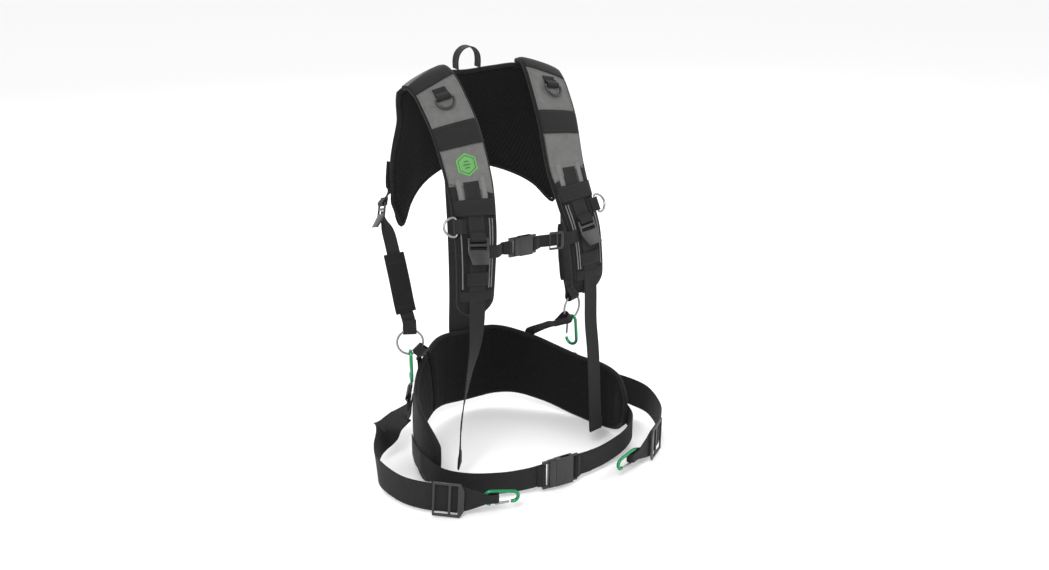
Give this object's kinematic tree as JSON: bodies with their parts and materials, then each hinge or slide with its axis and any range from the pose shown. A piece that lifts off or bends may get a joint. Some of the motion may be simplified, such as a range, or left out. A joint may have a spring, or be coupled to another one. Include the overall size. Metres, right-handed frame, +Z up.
{
  "type": "safety harness vest",
  "caption": "Padded shoulder and hip harness with a mesh back yoke, webbing straps, side-release buckles, rings and small carabiners.",
  "frame": {"origin": "midway between the tops of the two shoulder pads, where the harness hangs on the wearer's shoulders", "axes": "+Z up, -Y the way the wearer faces, +X the wearer's left"},
  "size_m": [0.5278, 0.385, 0.6727],
  "materials": {
    "mesh_fabric": "matte",
    "face_fabric": "matte",
    "webbing": "matte",
    "plastic": "satin",
    "steel": "polished",
    "green": "anodised",
    "patch": "matte"
  },
  "bodies": {
    "harness": {"back_yoke": "mesh_fabric", "chest_socket": "plastic", "chest_webbing_left": "webbing", "chest_webbing_right": "webbing", "front_ring_tab_left": "webbing", "front_ring_tab_right": "webbing", "hang_loop": "webbing", "hip_lock_tab_left": "plastic", "hip_lock_tab_right": "plastic", "hip_tab_left": "webbing", "hip_tab_right": "webbing", "hip_wing_left": "mesh_fabric", "hip_wing_right": "mesh_fabric", "load_webbing_left": "webbing", "load_webbing_right": "webbing", "lumbar_pad": "mesh_fabric", "outer_ring_tab_left": "webbing", "outer_ring_tab_right": "webbing", "patch": "patch", "shoulder_pad_left": "face_fabric", "shoulder_pad_right": "face_fabric", "shoulder_tail_left": "webbing", "shoulder_tail_right": "webbing", "shoulder_webbing_left": "webbing", "shoulder_webbing_right": "webbing", "side_sleeve_left": "mesh_fabric", "side_sleeve_right": "mesh_fabric", "side_webbing_left": "webbing", "side_webbing_right": "webbing", "spine_strap": "webbing", "waist_socket": "plastic", "waist_webbing_left": "webbing", "waist_webbing_right": "webbing", "wing_lock_tab_left": "plastic", "wing_lock_tab_right": "plastic"},
    "chest_plug": {"chest_plug": "plastic"},
    "chest_slider": {"chest_slider": "plastic"},
    "front_d_ring_left": {"front_d_ring_left": "plastic"},
    "front_d_ring_right": {"front_d_ring_right": "plastic"},
    "hip_lock_left": {"hip_lock_left": "plastic"},
    "hip_lock_right": {"hip_lock_right": "plastic"},
    "load_carabiner_left": {"load_carabiner_left": "green"},
    "load_carabiner_right": {"load_carabiner_right": "green"},
    "load_gate_left": {"load_gate_left": "steel"},
    "load_gate_right": {"load_gate_right": "steel"},
    "load_triglide_left": {"load_triglide_left": "plastic"},
    "load_triglide_right": {"load_triglide_right": "plastic"},
    "outer_d_ring_left": {"outer_d_ring_left": "steel"},
    "outer_d_ring_right": {"outer_d_ring_right": "steel"},
    "ring_carabiner_left": {"ring_carabiner_left": "green"},
    "ring_carabiner_right": {"ring_carabiner_right": "green"},
    "ring_gate_left": {"ring_gate_left": "steel"},
    "ring_gate_right": {"ring_gate_right": "steel"},
    "shoulder_lock_left": {"shoulder_lock_left": "plastic"},
    "shoulder_lock_right": {"shoulder_lock_right": "plastic"},
    "side_ring_left": {"side_ring_left": "steel"},
    "side_ring_right": {"side_ring_right": "steel"},
    "waist_plug": {"waist_plug": "plastic"},
    "wing_lock_left": {"wing_lock_left": "plastic"},
    "wing_lock_right": {"wing_lock_right": "plastic"}
  },
  "joints": [
    {"name": "waist_clip", "type": "slide", "parent": "harness", "child": "waist_plug", "axis": [-1, 0, 0], "range_m": [0, 0.028], "deforming": ["waist_webbing_right"]},
    {"name": "chest_clip", "type": "slide", "parent": "harness", "child": "chest_plug", "axis": [-1, 0, 0], "range_m": [0, 0.018], "deforming": ["chest_webbing_right"]},
    {"name": "ring_gate_hinge_left", "type": "hinge", "parent": "ring_carabiner_left", "child": "ring_gate_left", "pos_m": [0.15419, -0.01047, -0.4872], "axis": [0.9404, 0.3401, 0], "range_deg": [0, 25], "stiffness_Nm_per_rad": 0.04, "springref_deg": -20.05},
    {"name": "ring_gate_hinge_right", "type": "hinge", "parent": "ring_carabiner_right", "child": "ring_gate_right", "pos_m": [-0.15419, -0.01047, -0.4872], "axis": [0.9404, -0.3401, 0], "range_deg": [0, 25], "stiffness_Nm_per_rad": 0.04, "springref_deg": -20.05},
    {"name": "load_gate_hinge_left", "type": "hinge", "parent": "load_carabiner_left", "child": "load_gate_left", "pos_m": [0.13046, -0.25606, -0.62519], "axis": [-0.3518, 0.9361, 0], "range_deg": [0, 25], "stiffness_Nm_per_rad": 0.04, "springref_deg": -20.05},
    {"name": "load_gate_hinge_right", "type": "hinge", "parent": "load_carabiner_right", "child": "load_gate_right", "pos_m": [-0.13046, -0.25606, -0.62519], "axis": [-0.3518, -0.9361, 0], "range_deg": [0, 25], "stiffness_Nm_per_rad": 0.04, "springref_deg": -20.05},
    {"name": "ring_carabiner_swing_left", "type": "hinge", "parent": "side_ring_left", "child": "ring_carabiner_left", "pos_m": [0.158, -0.021, -0.4536], "axis": [0.9404, 0.3401, 0], "range_deg": [-35, 35]},
    {"name": "ring_carabiner_swing_right", "type": "hinge", "parent": "side_ring_right", "child": "ring_carabiner_right", "pos_m": [-0.158, -0.021, -0.4536], "axis": [0.9404, -0.3401, 0], "range_deg": [-35, 35]},
    {"name": "load_carabiner_swing_left", "type": "hinge", "parent": "harness", "child": "load_carabiner_left", "pos_m": [0.14495, -0.25061, -0.61396], "axis": [-0.0019, -0.0007, 1], "range_deg": [-25, 25], "deforming": ["load_webbing_left"]},
    {"name": "load_carabiner_swing_right", "type": "hinge", "parent": "harness", "child": "load_carabiner_right", "pos_m": [-0.14495, -0.25061, -0.61396], "axis": [-0.0019, 0.0007, -1], "range_deg": [-25, 25], "deforming": ["load_webbing_right"]},
    {"name": "side_ring_swing_left", "type": "hinge", "parent": "harness", "child": "side_ring_left", "pos_m": [0.158, -0.021, -0.4104], "axis": [-0.3599, -0.1302, -0.9239], "range_deg": [-7, 7]},
    {"name": "side_ring_swing_right", "type": "hinge", "parent": "harness", "child": "side_ring_right", "pos_m": [-0.158, -0.021, -0.4104], "axis": [-0.3599, 0.1302, 0.9239], "range_deg": [-7, 7]},
    {"name": "front_d_ring_flip_left", "type": "hinge", "parent": "harness", "child": "front_d_ring_left", "pos_m": [0.09797, -0.04641, -0.02543], "axis": [-0.9777, -0.0762, 0.1957], "range_deg": [0, 120]},
    {"name": "front_d_ring_flip_right", "type": "hinge", "parent": "harness", "child": "front_d_ring_right", "pos_m": [-0.09797, -0.04641, -0.02543], "axis": [-0.9777, 0.0762, -0.1957], "range_deg": [0, 120]},
    {"name": "outer_d_ring_flip_left", "type": "hinge", "parent": "harness", "child": "outer_d_ring_left", "pos_m": [0.12631, -0.13913, -0.20552], "axis": [0.1369, -0.3884, -0.9113], "range_deg": [-40, 40]},
    {"name": "outer_d_ring_flip_right", "type": "hinge", "parent": "harness", "child": "outer_d_ring_right", "pos_m": [-0.12631, -0.13913, -0.20552], "axis": [0.1369, 0.3884, 0.9113], "range_deg": [-40, 40]},
    {"name": "shoulder_lock_tilt_left", "type": "hinge", "parent": "harness", "child": "shoulder_lock_left", "pos_m": [0.09734, -0.1528, -0.22532], "axis": [-0.9817, -0.1675, -0.0904], "range_deg": [0, 30], "deforming": ["shoulder_tail_left"]},
    {"name": "shoulder_lock_tilt_right", "type": "hinge", "parent": "harness", "child": "shoulder_lock_right", "pos_m": [-0.09734, -0.1528, -0.22532], "axis": [-0.9817, 0.1675, 0.0904], "range_deg": [0, 30], "deforming": ["shoulder_tail_right"]},
    {"name": "wing_lock_tilt_left", "type": "hinge", "parent": "harness", "child": "wing_lock_left", "pos_m": [0.16906, 0.04454, -0.20913], "axis": [0.0703, -0.9504, 0.3028], "range_deg": [0, 30], "deforming": ["side_webbing_left"]},
    {"name": "wing_lock_tilt_right", "type": "hinge", "parent": "harness", "child": "wing_lock_right", "pos_m": [-0.16906, 0.04454, -0.20913], "axis": [0.0703, 0.9504, -0.3028], "range_deg": [0, 30], "deforming": ["side_webbing_right"]},
    {"name": "hip_lock_tilt_left", "type": "hinge", "parent": "harness", "child": "hip_lock_left", "pos_m": [0.15571, -0.0032, -0.5327], "axis": [0.4943, -0.8693, 0], "range_deg": [0, 30], "deforming": ["load_webbing_left"]},
    {"name": "hip_lock_tilt_right", "type": "hinge", "parent": "harness", "child": "hip_lock_right", "pos_m": [-0.15571, -0.0032, -0.5327], "axis": [0.4943, 0.8693, 0], "range_deg": [0, 30], "deforming": ["load_webbing_right"]},
    {"name": "load_triglide_slide_left", "type": "slide", "parent": "harness", "child": "load_triglide_left", "axis": [-0.8186, -0.5711, -0.0613], "range_m": [-0.012, 0.012], "deforming": ["load_webbing_left"]},
    {"name": "load_triglide_slide_right", "type": "slide", "parent": "harness", "child": "load_triglide_right", "axis": [0.8186, -0.5711, -0.0613], "range_m": [-0.012, 0.012], "deforming": ["load_webbing_right"]},
    {"name": "chest_slider_slide", "type": "slide", "parent": "harness", "child": "chest_slider", "axis": [-0.9855, 0.1695, -0.0006], "range_m": [-0.006, 0.006], "deforming": ["chest_webbing_left"]}
  ]
}
